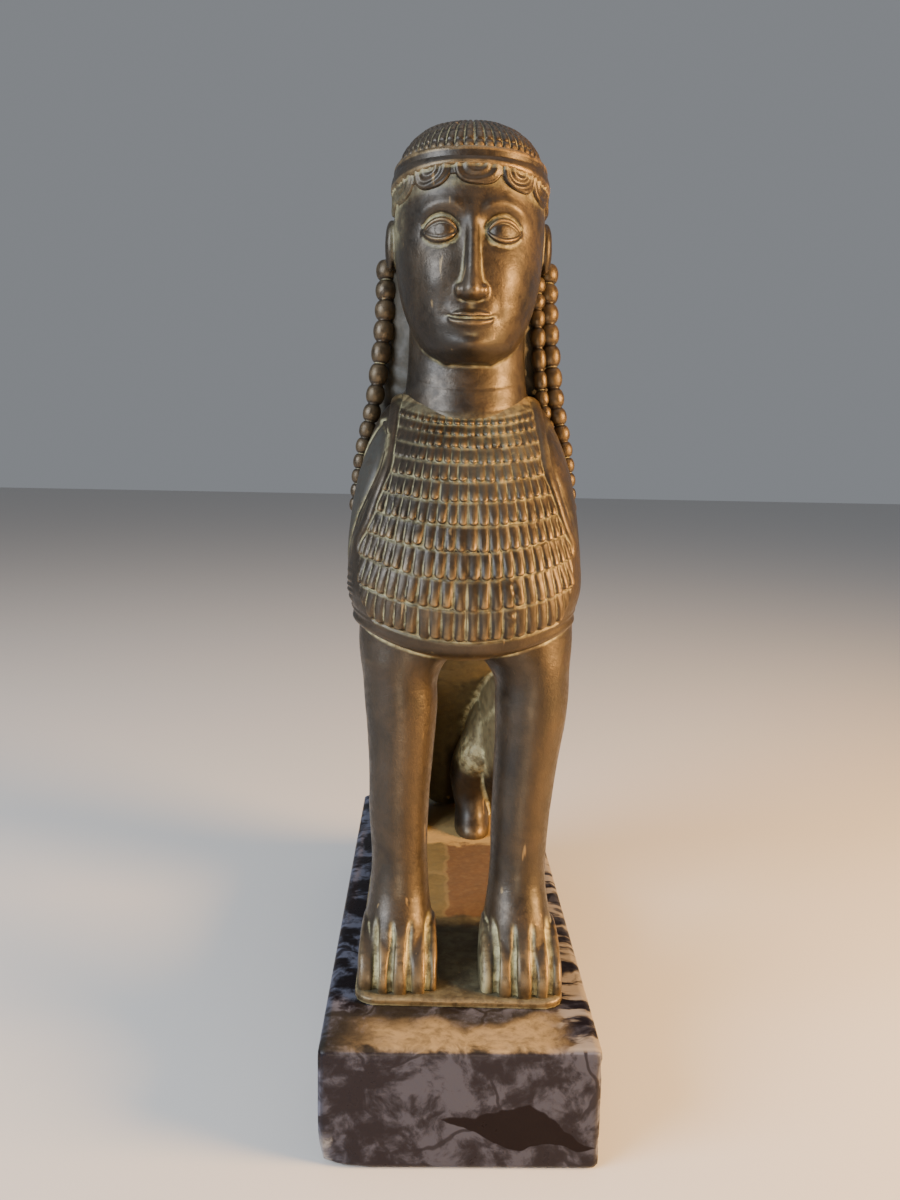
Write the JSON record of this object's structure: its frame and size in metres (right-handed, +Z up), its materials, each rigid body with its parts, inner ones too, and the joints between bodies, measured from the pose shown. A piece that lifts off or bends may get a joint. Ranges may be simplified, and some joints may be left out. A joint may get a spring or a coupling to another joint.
{
  "type": "sphinx statue",
  "caption": "Seated winged sphinx with a woman's head, cast in bronze with its thin plinth, on a polished marble block.",
  "frame": {"origin": "centre of the marble block's underside", "axes": "+Z up, the sphinx faces -Y, +X to the viewer's right"},
  "size_m": [0.0652, 0.1681, 0.246],
  "materials": {
    "bronze": "dark brown patina, worn to a warm sheen on high places, pale green in the hollows",
    "marble": "polished black, grey and whitish breccia"
  },
  "bodies": {
    "root": {"sphinx_casting": "bronze", "marble_block": "marble"}
  },
  "joints": []
}
